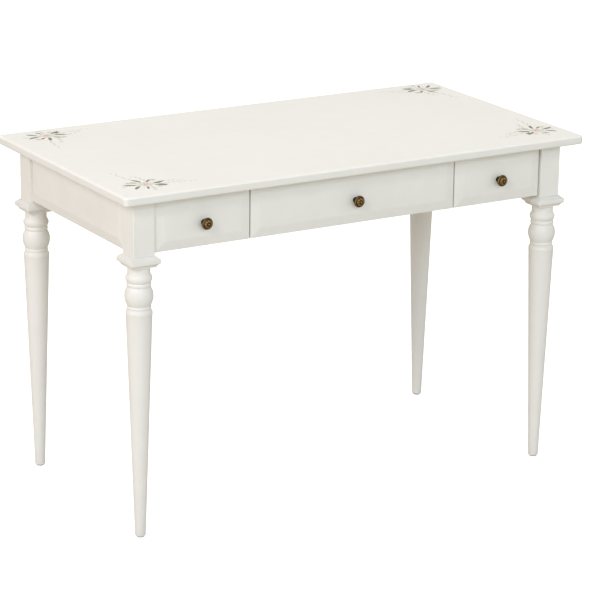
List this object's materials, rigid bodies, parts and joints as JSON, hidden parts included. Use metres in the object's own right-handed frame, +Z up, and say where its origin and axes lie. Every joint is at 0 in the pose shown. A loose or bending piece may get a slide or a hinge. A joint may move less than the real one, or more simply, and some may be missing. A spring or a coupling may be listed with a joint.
{
  "type": "dressing table",
  "caption": "White painted dressing or writing table with drawers under the top, turned tapered legs and aged brass knobs.",
  "frame": {"origin": "middle of the table's footprint, on the floor", "axes": "+X to the right as seen from the front, +Y to the back, +Z up; the drawers open towards -Y"},
  "size_m": [1.15, 0.62, 0.77],
  "materials": {
    "white_lacquer": "satin off-white lacquer on wood",
    "birch": "sanded, unpainted",
    "beech": "sanded, waxed",
    "plywood": "sanded birch plywood",
    "aged_brass": "cast, darkened, rubbed on the high parts",
    "zinc_steel": "zinc plated",
    "nylon": "moulded nylon"
  },
  "bodies": {
    "root": {"tabletop": "white_lacquer", "front_left_post": "white_lacquer", "front_left_leg": "white_lacquer", "front_right_post": "white_lacquer", "front_right_leg": "white_lacquer", "back_left_post": "white_lacquer", "back_left_leg": "white_lacquer", "back_right_post": "white_lacquer", "back_right_leg": "white_lacquer", "left_side_apron": "white_lacquer", "right_side_apron": "white_lacquer", "back_apron": "white_lacquer", "front_bottom_rail": "white_lacquer", "front_top_rail": "white_lacquer", "left_divider": "birch", "right_divider": "birch", "left_guide_board": "birch", "right_guide_board": "birch", "centre_drawer_left_runner": "beech", "centre_drawer_right_runner": "beech", "left_drawer_inner_runner": "beech", "left_drawer_outer_runner": "beech", "right_drawer_inner_runner": "beech", "right_drawer_outer_runner": "beech", "leg_bolts": "zinc_steel", "leg_insert_nuts": "zinc_steel", "frame_dowels": "beech", "tabletop_screws": "zinc_steel", "top_brackets": "zinc_steel", "bracket_screws": "zinc_steel", "runner_screws": "zinc_steel", "foot_glides": "nylon"},
    "left_drawer": {"left_drawer_front": "white_lacquer", "left_drawer_box_front": "birch", "left_drawer_left_side": "birch", "left_drawer_right_side": "birch", "left_drawer_back": "birch", "left_drawer_bottom": "plywood", "left_drawer_knob": "aged_brass", "left_drawer_knob_screw": "zinc_steel", "left_drawer_front_screws": "zinc_steel"},
    "centre_drawer": {"centre_drawer_front": "white_lacquer", "centre_drawer_box_front": "birch", "centre_drawer_left_side": "birch", "centre_drawer_right_side": "birch", "centre_drawer_back": "birch", "centre_drawer_bottom": "plywood", "centre_drawer_knob": "aged_brass", "centre_drawer_knob_screw": "zinc_steel", "centre_drawer_front_screws": "zinc_steel"},
    "right_drawer": {"right_drawer_front": "white_lacquer", "right_drawer_box_front": "birch", "right_drawer_left_side": "birch", "right_drawer_right_side": "birch", "right_drawer_back": "birch", "right_drawer_bottom": "plywood", "right_drawer_knob": "aged_brass", "right_drawer_knob_screw": "zinc_steel", "right_drawer_front_screws": "zinc_steel"}
  },
  "joints": [
    {"name": "left_drawer_slide", "type": "slide", "parent": "root", "child": "left_drawer", "axis": [0, -1, 0], "range_m": [0, 0.3]},
    {"name": "centre_drawer_slide", "type": "slide", "parent": "root", "child": "centre_drawer", "axis": [0, -1, 0], "range_m": [0, 0.3]},
    {"name": "right_drawer_slide", "type": "slide", "parent": "root", "child": "right_drawer", "axis": [0, -1, 0], "range_m": [0, 0.3]}
  ]
}
